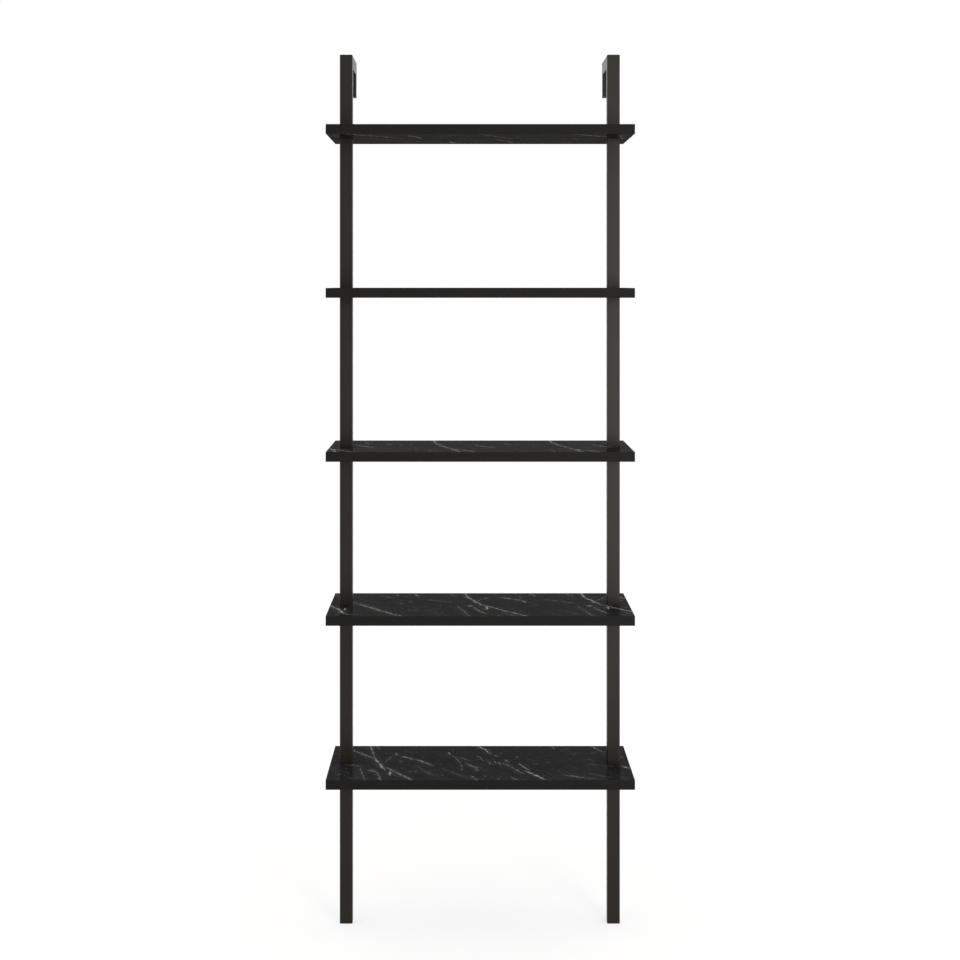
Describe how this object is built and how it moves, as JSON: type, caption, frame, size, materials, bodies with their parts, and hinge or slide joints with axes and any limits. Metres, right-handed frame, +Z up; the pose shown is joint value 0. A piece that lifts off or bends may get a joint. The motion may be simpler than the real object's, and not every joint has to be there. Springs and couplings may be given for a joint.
{
  "type": "ladder shelf",
  "caption": "Wall-fixed ladder shelf: marble-look boards clamped on square-tube uprights that turn back to the wall at the top.",
  "frame": {"origin": "on the floor, midway between the uprights and midway from the boards' front to the wall", "axes": "+Z up, +Y back to the wall, +X to the right seen from the front"},
  "size_m": [0.6, 0.3, 1.742],
  "materials": {
    "marble_laminate": "satin-gloss black marble print with white veins",
    "chipboard": "raw chipboard, seen only inside the upright holes",
    "edge_band": "satin black edge band",
    "powder_coat": "satin black powder coat with a fine grain",
    "zinc_steel": "bright zinc plate",
    "screw_black": "black oxide",
    "cap_plastic": "matt black moulded plastic"
  },
  "bodies": {
    "root": {"shelf_1_bottom_laminate": "marble_laminate", "shelf_1_core": "chipboard", "shelf_1_top_laminate": "marble_laminate", "shelf_1_edge_bands": "edge_band", "shelf_2_bottom_laminate": "marble_laminate", "shelf_2_core": "chipboard", "shelf_2_top_laminate": "marble_laminate", "shelf_2_edge_bands": "edge_band", "shelf_3_bottom_laminate": "marble_laminate", "shelf_3_core": "chipboard", "shelf_3_top_laminate": "marble_laminate", "shelf_3_edge_bands": "edge_band", "shelf_4_bottom_laminate": "marble_laminate", "shelf_4_core": "chipboard", "shelf_4_top_laminate": "marble_laminate", "shelf_4_edge_bands": "edge_band", "shelf_5_bottom_laminate": "marble_laminate", "shelf_5_core": "chipboard", "shelf_5_top_laminate": "marble_laminate", "shelf_5_edge_bands": "edge_band", "left_foot_cap": "cap_plastic", "left_leg": "powder_coat", "left_post_1": "powder_coat", "left_post_2": "powder_coat", "left_post_3": "powder_coat", "left_post_4": "powder_coat", "left_sleeve_1": "zinc_steel", "left_sleeve_2": "zinc_steel", "left_sleeve_3": "zinc_steel", "left_sleeve_4": "zinc_steel", "left_sleeve_5": "zinc_steel", "left_hook_post": "powder_coat", "left_hook_cap": "cap_plastic", "right_foot_cap": "cap_plastic", "right_leg": "powder_coat", "right_post_1": "powder_coat", "right_post_2": "powder_coat", "right_post_3": "powder_coat", "right_post_4": "powder_coat", "right_sleeve_1": "zinc_steel", "right_sleeve_2": "zinc_steel", "right_sleeve_3": "zinc_steel", "right_sleeve_4": "zinc_steel", "right_sleeve_5": "zinc_steel", "right_hook_post": "powder_coat", "right_hook_cap": "cap_plastic", "lock_screws": "screw_black", "sleeve_nuts": "zinc_steel"}
  },
  "joints": []
}
